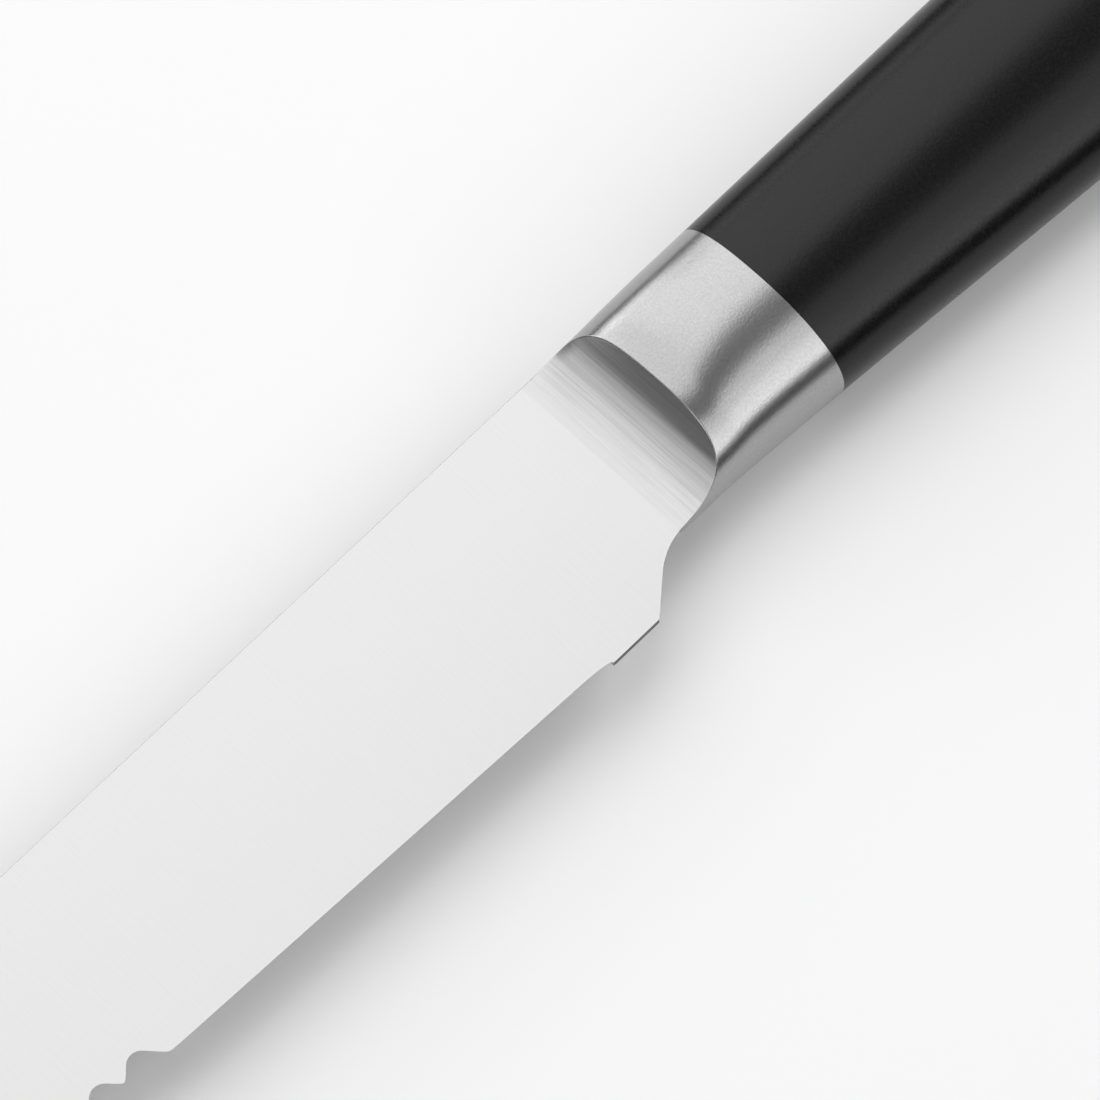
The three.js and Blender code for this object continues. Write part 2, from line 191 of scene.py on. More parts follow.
# Camera of the photograph, in the drawing frame
CAMERA_AZIMUTH = math.radians(-45.99)
CAMERA_ELEVATION = math.radians(66)
CAMERA_DISTANCE = 957.0
CAMERA_AIM = (-10.577, -14.31, 0.0)
IMAGE_WIDTH = 1100
PIXELS_PER_MM = 9.87
SENSOR = 36.0
CLIP_START = 0.01
CLIP_END = 50.0

# Studio: turn of the lamps against the knife, heights of the soft boxes in metres
STUDIO_TURN = math.radians(22)
CEILING = 1.0
END_LAMP_HEIGHT = 0.98
SPINE_LAMP_HEIGHT = 0.86
SPINE_LAMP_ROW = (2.3, 2.5)
SPINE_LAMP_LEAN = math.radians(70)


def metres(points):
    """Points of the drawing frame in metres in the row frame."""
    return np.asarray(points, float) * MM + ORIGIN


def along_knife(places):
    """Places on the drawing frame's x, in metres in the row frame."""
    return (ORIGIN[0] + MM * np.array(places)).tolist()


def half_blade(x, y):
    """Half thickness of the blade: a plane over x and y, thinner towards the edge and the tip."""
    down = (SPINE_THICKNESS - HEEL_THICKNESS) / HEEL_HEIGHT / 2
    ahead = (SPINE_THICKNESS - NOSE_THICKNESS) / BLADE_LENGTH / 2
    return SPINE_THICKNESS / 2 + down * y + ahead * (x - HEEL)


def spine_y(x):
    """Spine: straight, then a parabola that falls to the tip."""
    into = np.maximum(TIP + SPINE_FALL_LENGTH - x, 0) / SPINE_FALL_LENGTH
    return -TIP_DROP * into**2


def edge_y(x):
    """Plain edge: a line that rises from the heel, plus a parabola that sweeps up to the tip."""
    line = EDGE_SET_BACK - HEEL_HEIGHT + EDGE_RISE * (HEEL - x) / BLADE_LENGTH
    into = np.maximum(TIP + EDGE_SWEEP_LENGTH - x, 0) / EDGE_SWEEP_LENGTH
    lift = HEEL_HEIGHT - EDGE_SET_BACK - EDGE_RISE - TIP_DROP
    return line + lift * into**2


def choil_y(x):
    """Cut behind the heel: a straight line at the choil's angle, then a circle's arc to the level."""
    foot = CHOIL_UNDER_BOLSTER - CHOIL_RADIUS * math.sin(CHOIL_ANGLE)
    foot_y = -NECK_HEIGHT - CHOIL_RADIUS * (1 - math.cos(CHOIL_ANGLE))
    reach = np.minimum(np.abs(x - CHOIL_UNDER_BOLSTER), CHOIL_RADIUS)
    arc = -NECK_HEIGHT - CHOIL_RADIUS + np.sqrt(CHOIL_RADIUS**2 - reach**2)
    return np.where(x < foot, foot_y + (x - foot) * math.tan(CHOIL_ANGLE), arc)


def scallop(along):
    """Height of the scallops over the plain edge, at a length along the edge from the heel.

    Each scallop is a circle's arc between two straight flanks. The distance to the tip between
    two scallops is eased by a hyperbola, and so is the step from a flank to the plain edge.
    """
    last = math.floor((edge_length() - PLAIN_TIP - FIRST_SCALLOP) / TOOTH_PITCH)
    which = np.clip(np.round((along - FIRST_SCALLOP) / TOOTH_PITCH), 0, last)
    away = np.abs(along - FIRST_SCALLOP - which * TOOTH_PITCH)
    to_tip = TOOTH_PITCH / 2 - away
    inside = (along > FIRST_SCALLOP) & (along < FIRST_SCALLOP + last * TOOTH_PITCH)
    eased = TOOTH_PITCH / 2 - np.sqrt(to_tip**2 + TOOTH_EASE**2)
    away = np.where(inside & (to_tip < SCALLOP_RADIUS / 2), eased, away)
    round_run = SCALLOP_RADIUS * math.sin(FLANK_ANGLE)
    round_rise = SCALLOP_RADIUS * (1 - math.cos(FLANK_ANGLE))
    arc = SCALLOP_RADIUS - np.sqrt(SCALLOP_RADIUS**2 - np.minimum(away, round_run) ** 2)
    flank = round_rise + (away - round_run) * math.tan(FLANK_ANGLE)
    height = SCALLOP_DEPTH - np.where(away < round_run, arc, flank)
    return (height + np.sqrt(height**2 + 4 * FLANK_EASE**2)) / 2


def edge_table():
    """x and length along the plain edge from the heel, at close steps."""
    x = np.linspace(HEEL, TIP, EDGE_STEPS + 1)
    steps = np.hypot(np.diff(x), np.diff(edge_y(x)))
    return x, np.concatenate([[0], np.cumsum(steps)])


def edge_length():
    """Length of the plain edge from the heel to the tip."""
    return edge_table()[1][-1]


def smooth(stations, x):
    """Line through stations (x, value): cubic pieces with the slope of the neighbours' chord."""
    at, value = np.array(stations, float).T
    before = np.maximum(np.arange(len(at)) - 1, 0)
    after = np.minimum(np.arange(len(at)) + 1, len(at) - 1)
    slope = (value[after] - value[before]) / (at[after] - at[before])
    i = np.clip(np.searchsorted(at, x) - 1, 0, len(at) - 2)
    run = at[i + 1] - at[i]
    t = (x - at[i]) / run
    rise = value[i + 1] - value[i]
    lean0, lean1 = slope[i] * run, slope[i + 1] * run
    square, cube = 3 * rise - 2 * lean0 - lean1, lean0 + lean1 - 2 * rise
    return value[i] + t * (lean0 + t * (square + t * cube))


WELD_HEIGHT = NECK_HEIGHT + CHOIL_RADIUS - math.sqrt(CHOIL_RADIUS**2 - CHOIL_UNDER_BOLSTER**2)
BELLY_LINE = [
    (0, WELD_HEIGHT),
    (RAMP_LENGTH, NECK_HEIGHT),
    (BOLSTER_LENGTH, COLLAR_HEIGHT),
    (BOLSTER_LENGTH + SWELL_BEHIND_COLLAR, SWELL_HEIGHT),
    (BUTT - WAIST_BEFORE_BUTT, WAIST_HEIGHT),
    (BUTT - HOOK_BEFORE_BUTT, HOOK_HEIGHT),
    (BUTT, HOOK_HEIGHT),
]
THICKNESS_LINE = [
    (0, NOSE_WIDTH),
    (RAMP_LENGTH, NECK_THICKNESS),
    (RAMP_LENGTH + FLARE_BEHIND_RIDGE, FLARE_THICKNESS),
    (RAMP_LENGTH + SHOULDER_BEHIND_RIDGE, SHOULDER_THICKNESS),
    (BOLSTER_LENGTH, COLLAR_THICKNESS),
    (BOLSTER_LENGTH + SWELL_BEHIND_COLLAR, SWELL_THICKNESS),
    (BUTT - WAIST_BEFORE_BUTT, WAIST_THICKNESS),
    (BUTT - HOOK_BEFORE_BUTT, HOOK_THICKNESS),
    (BUTT, HOOK_THICKNESS),
]
WIDEST_LINE = [
    (0, NOSE_WIDEST),
    (RAMP_LENGTH, NOSE_WIDEST),
    (RAMP_LENGTH + SHOULDER_BEHIND_RIDGE, WIDEST),
    (BOLSTER_LENGTH, WIDEST),
    (BOLSTER_LENGTH + SWELL_BEHIND_COLLAR, SWELL_WIDEST),
    (BUTT, WIDEST),
]

AROUND = np.linspace(0, 2 * np.pi, OVAL_POINTS, endpoint=False)


def oval(x, inset=0.0):
    """Point of the oval section at x, for every turn of AROUND: two half superellipses that share
    the widest place. x and inset broadcast against AROUND; the result has a last axis of 3."""
    fall = np.maximum(x - (BUTT - TOP_FALL_LENGTH), 0) / TOP_FALL_LENGTH
    top = -TOP_FALL * fall**2 - inset
    bottom = -smooth(BELLY_LINE, x) + inset
    half = smooth(THICKNESS_LINE, x) / 2 - inset
    widest = top + (bottom - top) * smooth(WIDEST_LINE, x)
    up, out = np.cos(AROUND), np.sin(AROUND)
    power = 2 / np.where(up > 0, SPINE_FULLNESS, BELLY_FULLNESS)
    reach = np.where(up > 0, top - widest, bottom - widest)
    y = widest + reach * np.abs(up) ** power
    z = half * np.sign(out) * np.abs(out) ** power
    return np.stack(np.broadcast_arrays(x, y, z), axis=-1)


def slot_ring(x, low, high, half):
    """Upright rectangle at x with a point for every turn of AROUND, corners among them."""
    up, out = np.cos(AROUND), np.sin(AROUND)
    square = np.maximum(np.abs(up), np.abs(out))
    y = (low + high) / 2 + (high - low) / 2 * up / square
    z = half * out / square
    return np.stack(np.broadcast_arrays(float(x), y, z), axis=-1)


def skin(name, rings, finishes, bands=(), sharp=SHARP_ANGLE):
    """Closed mesh over a stack of closed rings (rings, points, 3): quads between neighbouring rings
    and a fan over each end. bands lists (rings, points, finish number), the first two as slices, for
    other finishes. Edges that bend by more than sharp stay sharp. The map called plan is x and y in
    metres."""
    count, points, _ = rings.shape
    ends = np.stack([rings[0].mean(axis=0), rings[-1].mean(axis=0)])
    vertices = metres(np.concatenate([rings.reshape(-1, 3), ends]))
    grid = np.arange(count * points).reshape(count, points)
    following = np.roll(grid, -1, axis=1)
    quads = np.stack([grid[:-1], following[:-1], following[1:], grid[1:]], axis=-1)
    finish = np.zeros((count - 1, points), np.int32)
    for across, along, number in bands:
        finish[across, along] = number
    first_fan = np.stack([grid[0], following[0], np.full(points, count * points)], axis=-1)
    last_fan = np.stack([grid[-1], following[-1], np.full(points, count * points + 1)], axis=-1)
    faces = quads.reshape(-1, 4).tolist() + first_fan.tolist() + last_fan.tolist()
    mesh = bpy.data.meshes.new(name)
    mesh.from_pydata(vertices.tolist(), [], faces)
    numbers = np.concatenate([finish.ravel(), np.zeros(2 * points, np.int32)])
    mesh.polygons.foreach_set("material_index", numbers)
    for material in finishes:
        mesh.materials.append(material)
    close = bmesh.new()
    close.from_mesh(mesh)
    bmesh.ops.remove_doubles(close, verts=close.verts, dist=MERGE_DISTANCE)
    bmesh.ops.dissolve_degenerate(close, edges=close.edges, dist=MERGE_DISTANCE / 2)
    bmesh.ops.recalc_face_normals(close, faces=close.faces)
    close.to_mesh(mesh)
    close.free()
    mesh.shade_smooth()
    mesh.set_sharp_from_angle(angle=sharp)
    corners = np.empty(len(mesh.loops), np.int32)
    mesh.loops.foreach_get("vertex_index", corners)
    places = np.empty(len(mesh.vertices) * 3, np.float32)
    mesh.vertices.foreach_get("co", places)
    plan = places.reshape(-1, 3)[corners, :2]
    mesh.uv_layers.new(name="plan").uv.foreach_set("vector", plan.ravel())
    piece = bpy.data.objects.new(name, mesh)
    bpy.context.scene.collection.objects.link(piece)
    return piece


def blade_sections(foot, spine, ground):
    """Closed section of the blade for each column.

    foot and spine are (columns, 2) places in x and y on the left face; ground says how far each
    column has the one-sided bevel, which slopes from the foot on the left face up to the right face.
    The loop runs over the spine's left corner, down the left face, over the bevel or the bottom
    wall, up the right face and over the spine's right corner.
    """
    depth = np.linalg.norm(spine - foot, axis=1)
    towards = (spine - foot) / np.maximum(depth, TINY)[:, None]
    foot_half = half_blade(*foot.T)
    spine_half = half_blade(*spine.T)
    down = (SPINE_THICKNESS - HEEL_THICKNESS) / HEEL_HEIGHT / 2
    full = 2 * foot_half / (math.tan(GRIND_ANGLE) - 2 * down)
    bevel = ground * np.minimum(full, depth)
    bevel_half = foot_half + down * bevel
    fall = np.minimum(depth, full) * math.tan(GRIND_ANGLE)
    bevel_z = np.maximum(bevel_half - np.where(ground < 1, 2 * bevel_half, fall), -bevel_half)
    wall_low = np.where(bevel < depth, -spine_half, bevel_z)
    corner = np.minimum(np.minimum(SPINE_ROUND, depth / 4), (spine_half - wall_low) / 3)
    turn = np.linspace(0, np.pi / 2, CORNER_ROWS + 1)
    rise = 1 - np.cos(turn)
    run = 1 - np.sin(turn)
    share = np.concatenate([[HOLD], np.linspace(0, 1, FACE_ROWS + 1)[1:]])
    sink = np.linspace(0, 1, BEVEL_ROWS + 1)[1:]
    up = np.concatenate([share[-2::-1], [0]])
    # distance of each loop point below the spine, and its height
    corner_d = corner[:, None] * rise
    left_d = corner[:, None] + (depth - corner)[:, None] * share
    bevel_d = depth[:, None] - bevel[:, None] * sink
    right_d = corner[:, None] + np.maximum(depth - bevel - corner, 0)[:, None] * up
    left_slope = ((foot_half - spine_half) / np.maximum(depth, TINY))[:, None]
    left_z = spine_half[:, None] + left_slope * left_d
    corner_z = spine_half[:, None] + left_slope * corner_d - corner[:, None] * run
    strip_z = foot_half[:, None] + (bevel_z - foot_half)[:, None] * sink
    right_run = np.maximum(depth - bevel, TINY)[:, None]
    right_slope = (bevel_z - wall_low)[:, None] / right_run
    right_z = wall_low[:, None] + right_slope * np.minimum(right_d, right_run)
    low_corner_d = corner_d[:, ::-1]
    low_wall_z = wall_low[:, None] + right_slope * np.minimum(low_corner_d, right_run)
    low_corner_z = low_wall_z + corner[:, None] * run[::-1]
    d = np.concatenate([corner_d, left_d, bevel_d, right_d, low_corner_d], axis=1)
    z = np.concatenate([corner_z, left_z, strip_z, right_z, low_corner_z], axis=1)
    place = spine[:, None, :] - towards[:, None, :] * d[:, :, None]
    return np.concatenate([place, z[:, :, None]], axis=2)


def blade_columns():
    """Foot and spine of every column from the weld to the tip, and the share of its bevel.

    Columns stand about square to the spine. They follow the choil, the flat heel, the short run in
    which the ground edge leaves the heel, a piece of a parabola, and then the scalloped edge. The
    bevel grows behind the heel as the square root of the way.
    """
    x_choil = np.linspace(0, HEEL, CHOIL_COLUMNS)
    choil = np.stack([x_choil, choil_y(x_choil)], axis=1)
    start = HEEL - HEEL_FLAT
    x_heel = np.linspace(HEEL, start, HEEL_COLUMNS + 1)[1:]
    heel = np.stack([x_heel, np.full_like(x_heel, -HEEL_HEIGHT)], axis=1)
    t = np.linspace(0, 1, LEAVE_COLUMNS)[:, None]
    corner = np.array([start, -HEEL_HEIGHT])
    bend = np.array([start, edge_y(start)])
    settled = np.array([start - GRIND_RUN, edge_y(start - GRIND_RUN)])
    leave = (1 - t) ** 2 * corner + 2 * t * (1 - t) * bend + t**2 * settled
    x_table, along_table = edge_table()
    first = np.interp(-settled[0], -x_table, along_table)
    plain = np.arange(first + PLAIN_STEP, FIRST_SCALLOP - TOOTH_PITCH, PLAIN_STEP)
    toothed = np.arange(FIRST_SCALLOP - TOOTH_PITCH, along_table[-1] - TOOTH_STEP / 2, TOOTH_STEP)
    along = np.concatenate([plain, toothed, along_table[-1:]])
    x_edge = np.interp(along, along_table, x_table)
    lean = np.gradient(edge_y(x_table), x_table)
    slope = np.interp(-x_edge, -x_table, lean)
    across = np.stack([-slope, np.ones_like(slope)], axis=1) / np.hypot(slope, 1)[:, None]
    plain_edge = np.stack([x_edge, edge_y(x_edge)], axis=1)
    room = spine_y(x_edge) - plain_edge[:, 1]
    edge = plain_edge + across * np.minimum(scallop(along), room * SCALLOP_ROOM)[:, None]
    foot = np.concatenate([choil, heel, leave, edge])
    above = np.concatenate([x_choil, x_heel, leave[:, 0], x_edge])
    spine = np.stack([above, spine_y(above)], axis=1)
    return foot, spine, np.clip((start - above) / BEVEL_START, 0, 1) ** 0.5


def build_blade(ground, shaded_wall):
    """Blade: its sections from the weld to the tip, behind them the tenon, which is the section at
    the weld cut back by the shoulders and the rebates. The wall under the flat heel gets painted shade,
    a dark grey finish."""
    sections = blade_sections(*blade_columns())
    weld = sections[0]
    inner = weld.copy()
    inner[:, 1] = np.clip(weld[:, 1], -(NECK_HEIGHT - TENON_SHOULDER), -TENON_SHOULDER)
    limit = half_blade(0, inner[:, 1]) - TENON_REBATE
    inner[:, 2] = np.clip(weld[:, 2], -limit, limit)
    outer = inner.copy()
    outer[:, 0] = TENON_LENGTH
    tenon = [outer, inner]
    first = len(tenon) + CHOIL_COLUMNS - 1
    wall = CORNER_ROWS + 1 + FACE_ROWS
    bands = [(slice(first, first + HEEL_COLUMNS), slice(wall, wall + BEVEL_ROWS), 1)]
    rings = np.concatenate([tenon, sections])
    return skin("blade_ground", rings, [ground, shaded_wall], bands, GRIND_SHARP_ANGLE)


def ramp_height(x):
    """Hollow cheek above the blade's face: a quarter ellipse that starts level."""
    share = np.clip(x / RAMP_LENGTH, 0, 1)
    return RAMP_HEIGHT * (1 - np.sqrt(1 - share**2))


def cheek_z(y, height):
    """Height of the hollow cheek over the blade's middle, eased by a cubic down to the spine."""
    ease = CHEEK_EASE * np.minimum(height / RAMP_HEIGHT * CHEEK_EASE_GROWTH, 1)
    return half_blade(0, y) + height - ease * np.maximum(1 + y / CHEEK_EASE_WIDTH, 0) ** 3


def cheek(turn):
    """Rings of the two hollow cheeks where their quarter ellipse has the given turn."""
    ring = oval(RAMP_LENGTH * np.sin(turn))
    face = cheek_z(ring[..., 1], RAMP_HEIGHT * (1 - np.cos(turn)))
    ring[..., 2] = np.clip(ring[..., 2], -face, face)
    return ring


def ridge_x():
    """x of the ridge for every turn of AROUND, by halving: there the hollow reaches the oval."""
    low, high = np.zeros(OVAL_POINTS), np.full(OVAL_POINTS, RAMP_LENGTH)
    for _ in range(HALVINGS):
        middle = (low + high) / 2
        _, y, z = np.moveaxis(oval(middle), -1, 0)
        under = cheek_z(y, ramp_height(middle)) < np.abs(z)
        low, high = np.where(under, middle, low), np.where(under, high, middle)
    return low


def build_bolster(ground, satin):
    """Bolster: slot for the tenon, front face, the two hollow cheeks up to the ridge, the oval
    collar, rear face and the socket for the tang, ring after ring from front to back."""
    neck_low = -(NECK_HEIGHT - TENON_SHOULDER) - FIT
    slot_half = half_blade(0, (neck_low - TENON_SHOULDER) / 2) - TENON_REBATE + FIT
    slot_high = -TENON_SHOULDER + FIT
    slot = [slot_ring(x, neck_low, slot_high, slot_half) for x in (TENON_LENGTH + FIT, 0.0)]
    ridge = ridge_x()
    soft = np.minimum(RIDGE_ROUND, ridge / 4)
    ridge_turn = np.arcsin(np.clip(ridge / RAMP_LENGTH, 0, 1))
    crown_turn = soft / math.hypot(RAMP_LENGTH, RAMP_HEIGHT) * math.sqrt(2)
    rows = np.concatenate([[0, HOLD], np.linspace(0, 1, RAMP_ROWS - 2)[1:-1], [1 - HOLD, 1]])
    ramp = cheek((ridge_turn - np.minimum(crown_turn, ridge_turn / 4)) * rows[:, None])
    lip = oval(ridge + soft)
    bend = np.linspace(0, 1, RIDGE_ROWS + 2)[1:-1, None, None]
    crown = (1 - bend) ** 2 * ramp[-1] + 2 * bend * (1 - bend) * cheek(ridge_turn) + bend**2 * lip
    last = BOLSTER_LENGTH - SEAM_ROUND
    rows = np.concatenate([[0, HOLD], np.linspace(0, 1, COLLAR_ROWS - 1)[1:]])
    collar = oval(ridge + soft + (last - ridge - soft) * rows[:, None])
    rim = oval(np.full(OVAL_POINTS, BOLSTER_LENGTH), SEAM_ROUND)
    reach = TANG_HEIGHT / 2 + FIT
    half = TANG_THICKNESS / 2 + FIT
    socket = [
        slot_ring(x, -TANG_BELOW_SPINE - reach, -TANG_BELOW_SPINE + reach, half)
        for x in (BOLSTER_LENGTH, BOLSTER_LENGTH - SOCKET_DEPTH - FIT)
    ]
    rings = np.concatenate([slot, ramp, crown, collar, rim[None], socket])
    foot = len(slot)
    bands = [(slice(foot, foot + RAMP_ROWS - 1), slice(None), 1)]
    return skin("bolster_ground", rings, [satin, ground], bands)


def build_handle(plastic):
    """Handle: the bore for the bed, front face, the oval grip and the round butt, whose inset
    follows a quarter circle."""
    tang_front = BOLSTER_LENGTH - SOCKET_DEPTH
    taper = (TANG_HEIGHT - TANG_END_HEIGHT) / 2 / TANG_LENGTH
    bore = []
    for x in (tang_front + TANG_LENGTH + BED_END + FIT, BOLSTER_LENGTH):
        reach = TANG_HEIGHT / 2 - taper * (x - tang_front) + BED_WALL + FIT
        half = TANG_THICKNESS / 2 + BED_WALL + FIT
        bore.append(slot_ring(x, -TANG_BELOW_SPINE - reach, -TANG_BELOW_SPINE + reach, half))
    rim = oval(np.full(OVAL_POINTS, BOLSTER_LENGTH), SEAM_ROUND)
    grip_x = np.linspace(BOLSTER_LENGTH + SEAM_ROUND, BUTT - BUTT_ROUND, GRIP_ROWS)
    grip = oval(grip_x[:, None] + 0 * AROUND)
    turn = np.linspace(0, np.pi / 2, BUTT_ROWS + 1)[1:, None] + 0 * AROUND
    butt = oval(BUTT - BUTT_ROUND * (1 - np.sin(turn)), BUTT_ROUND * (1 - np.cos(turn)))
    return skin("handle_moulded", np.concatenate([bore, rim[None], grip, butt]), [plastic])


def linear(colour):
    """sRGB hex colour as linear red, green, blue and alpha."""
    parts = np.array([int(colour[i:i + 2], 16) for i in (1, 3, 5)]) / 255
    low, high = parts / 12.92, ((parts + 0.055) / 1.055) ** 2.4
    return (*np.where(parts <= 0.04045, low, high).tolist(), 1.0)


def add(tree, kind, links=(), **settings):
    """Adds a node with its settings. links maps an input to a value or to another node's output."""
    node = tree.nodes.new(kind)
    for name, value in settings.items():
        setattr(node, name, value)
    for socket, value in dict(links).items():
        if isinstance(value, bpy.types.NodeSocket):
            tree.links.new(value, node.inputs[socket])
        else:
            node.inputs[socket].default_value = value
    return node


def new_material(name):
    """Empty node material with its tree and object coordinates in metres."""
    material = bpy.data.materials.new(name)
    material.use_nodes = True
    tree = material.node_tree
    tree.nodes.clear()
    place = add(tree, "ShaderNodeTexCoord").outputs["Object"]
    return material, tree, place


def speckle(tree, place, sizes, **inputs):
    """Noise around one half whose grains have the given sizes in millimetres along x, y and z."""
    scale = tuple(1 / (size * MM) for size in sizes)
    placed = add(tree, "ShaderNodeMapping", {"Vector": place, "Scale": scale})
    noise = add(tree, "ShaderNodeTexNoise", {"Vector": placed.outputs[0], "Scale": 1.0, **inputs})
    return noise.outputs["Fac"]


def shades(tree, pattern, colour, swing):
    """Colour that swings by a share either side of colour as the pattern crosses its span."""
    ramp = add(tree, "ShaderNodeValToRGB", {"Fac": pattern})
    tone = np.array(linear(colour)[:3])
    stops = zip(ramp.color_ramp.elements, NOISE_SPAN.values(), (1 - swing, 1 + swing))
    for stop, place, factor in stops:
        stop.position = place
        stop.color = (*(tone * factor).tolist(), 1.0)
    return ramp.outputs["Color"]


def painted_shade(tree, place, colour, start, end, share):
    """Painted shade: colour that falls to a share of itself from start to end, in metres along the
    knife.
    """
    x = add(tree, "ShaderNodeSeparateXYZ", {0: place}).outputs["X"]
    span = {"Value": x, "From Min": start, "From Max": end, "To Min": 1.0, "To Max": share}
    fall = add(tree, "ShaderNodeMapRange", span, interpolation_type="SMOOTHSTEP")
    scaled = {0: colour, "Scale": fall.outputs[0]}
    return add(tree, "ShaderNodeVectorMath", scaled, operation="SCALE").outputs[0]


def brushed_steel(name, colour, roughness, spacing, length, depth, swing, comb, set_in=None, shade_span=None):
    """Stainless steel ground with a belt across the blade: fine parallel lines that run from the
    spine to the edge, in bands that are a little brighter or darker. The eye sees a grey metal whose
    reflections are drawn out along the knife, by comb, and streaked by swing. set_in is the span along
    the knife over which the lines grow to their full strength. shade_span is the span along the knife
    over which painted shade darkens the colour, and the share of the colour left beyond it. The lines
    are coarser than the real grit so that they show."""
    material, tree, place = new_material(name)
    sizes = (spacing, length, spacing)
    fine = speckle(tree, place, sizes, Detail=2.0)
    band = speckle(tree, place, np.multiply(sizes, BAND_SHARE).tolist(), Detail=2.0)
    both = add(tree, "ShaderNodeMath", {0: fine, 1: band}, operation="ADD").outputs[0]
    # two noises around one half add up to values around one
    ends = {"From Min": 0.5, "From Max": 1.5}
    if set_in:
        x = add(tree, "ShaderNodeSeparateXYZ", {0: place}).outputs["X"]
        span = {"Value": x, "From Min": set_in[0], "From Max": set_in[1]}
        low = {**span, "To Min": (1 - FAINT_LINES) / 2, "To Max": 0.0}
        high = {**span, "To Min": (1 + FAINT_LINES) / 2, "To Max": 1.0}
        ends["To Min"] = add(tree, "ShaderNodeMapRange", low).outputs[0]
        ends["To Max"] = add(tree, "ShaderNodeMapRange", high).outputs[0]
    lines = add(tree, "ShaderNodeMapRange", {"Value": both, **ends}).outputs[0]
    wear = {"To Min": roughness - BELT_WEAR, "To Max": roughness + BELT_WEAR}
    worn = add(tree, "ShaderNodeMapRange", {"Value": lines, **NOISE_SPAN, **wear})
    bump = add(tree, "ShaderNodeBump", {"Strength": 1.0, "Distance": depth * MM, "Height": lines})
    tone = shades(tree, lines, colour, swing)
    along = add(tree, "ShaderNodeTangent", direction_type="UV_MAP", uv_map="plan")
    steel = add(
        tree,
        "ShaderNodeBsdfPrincipled",
        {
            "Base Color": painted_shade(tree, place, tone, *shade_span) if shade_span else tone,
            "Metallic": 1.0,
            "Roughness": worn.outputs[0],
            "Anisotropic": comb,
            "Tangent": along.outputs[0],
            "Normal": bump.outputs[0],
        },
    )
    add(tree, "ShaderNodeOutputMaterial", {"Surface": steel.outputs[0]})
    return material


def satin_steel(name, colour, roughness, grain, depth, swing):
    """Stainless steel with a close grain without a direction, as an abrasive wheel, a blanking press or
    a rolling mill leaves it. The eye sees a soft metal sheen with a faint salt-and-pepper texture of
    swing, coarser than the real grain so that it shows."""
    material, tree, place = new_material(name)
    close = speckle(tree, place, (grain, grain, grain), Detail=2.0, Distortion=0.6)
    bump = add(tree, "ShaderNodeBump", {"Strength": 1.0, "Distance": depth * MM, "Height": close})
    steel = add(
        tree,
        "ShaderNodeBsdfPrincipled",
        {
            "Base Color": shades(tree, close, colour, swing),
            "Metallic": 1.0,
            "Roughness": roughness,
            "Normal": bump.outputs[0],
        },
    )
    add(tree, "ShaderNodeOutputMaterial", {"Surface": steel.outputs[0]})
    return material


def moulded_plastic(name, colour, roughness, grain, depth, ior):
    """Plastic or resin cast in a lightly etched mould: close, shallow grain. The eye sees an even
    body colour with a soft sheen that breaks up very slightly."""
    material, tree, place = new_material(name)
    etched = speckle(tree, place, (grain, grain, grain), Detail=3.0, Roughness=0.6)
    wear = {"To Min": roughness - MOULD_WEAR, "To Max": roughness + MOULD_WEAR}
    worn = add(tree, "ShaderNodeMapRange", {"Value": etched, **NOISE_SPAN, **wear})
    bump = add(tree, "ShaderNodeBump", {"Strength": 1.0, "Distance": depth * MM, "Height": etched})
    plastic = add(
        tree,
        "ShaderNodeBsdfPrincipled",
        {
            "Base Color": linear(colour),
            "IOR": ior,
            "Roughness": worn.outputs[0],
            "Normal": bump.outputs[0],
        },
    )
    add(tree, "ShaderNodeOutputMaterial", {"Surface": plastic.outputs[0]})
    return material


def floor_paper(name, colour, glow):
    """Matt white studio paper. Seen directly or in a reflection it also gives a little light of its
    own, so that it comes out white while the knife's shadow stays on it."""
    material, tree, place = new_material(name)
    fibre = speckle(tree, place, (PAPER_FIBRE, PAPER_FIBRE, PAPER_FIBRE), Detail=2.0)
    relief = {"Strength": 1.0, "Distance": PAPER_RELIEF * MM, "Height": fibre}
    bump = add(tree, "ShaderNodeBump", relief)
    paper = add(tree, "ShaderNodeBsdfDiffuse", {"Color": linear(colour), "Normal": bump.outputs[0]})
    ray = add(tree, "ShaderNodeLightPath").outputs
    bounced = {0: ray["Is Glossy Ray"], 1: ray["Is Transmission Ray"]}
    mirrored = add(tree, "ShaderNodeMath", bounced, operation="MAXIMUM").outputs[0]
    either = {0: ray["Is Camera Ray"], 1: mirrored}
    seen = add(tree, "ShaderNodeMath", either, operation="MAXIMUM").outputs[0]
    strength = add(tree, "ShaderNodeMath", {0: seen, 1: glow}, operation="MULTIPLY")
    light = add(tree, "ShaderNodeEmission", {"Strength": strength.outputs[0]})
    both = add(tree, "ShaderNodeAddShader", {0: paper.outputs[0], 1: light.outputs[0]})
    add(tree, "ShaderNodeOutputMaterial", {"Surface": both.outputs[0]})
    return material


# Directions of the photograph on the floor: right and up in the picture.
PICTURE_RIGHT = np.array([math.cos(CAMERA_AZIMUTH), math.sin(CAMERA_AZIMUTH), 0])
PICTURE_UP = np.array([-math.sin(CAMERA_AZIMUTH), math.cos(CAMERA_AZIMUTH), 0])


